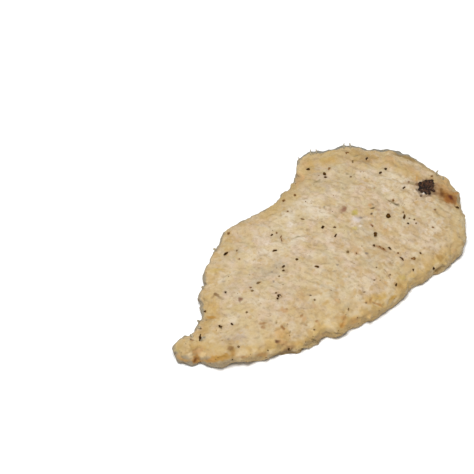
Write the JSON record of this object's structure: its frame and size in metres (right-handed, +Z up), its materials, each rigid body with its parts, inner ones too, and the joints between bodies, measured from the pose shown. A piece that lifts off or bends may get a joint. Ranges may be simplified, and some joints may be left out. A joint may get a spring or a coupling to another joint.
{
  "type": "breaded chicken tenderloin",
  "caption": "Flat breaded chicken tenderloin with a broad rounded end, a knobbed tail and a craggy crust with cracked pepper.",
  "frame": {"origin": "on the surface that the piece lies on, under the middle of its outline's box", "axes": "+X from the narrow tail to the broad end, +Y towards the side with the square shoulder, +Z up, away from the surface"},
  "size_m": [0.13, 0.0764, 0.0107],
  "materials": {
    "crust": "dry floured coating, pale cream turning golden at the rim",
    "pepper": "cracked black pepper",
    "burnt_coating": "burnt coating, rough and matt"
  },
  "bodies": {
    "root": {"breaded_tenderloin": "crust"}
  },
  "joints": []
}
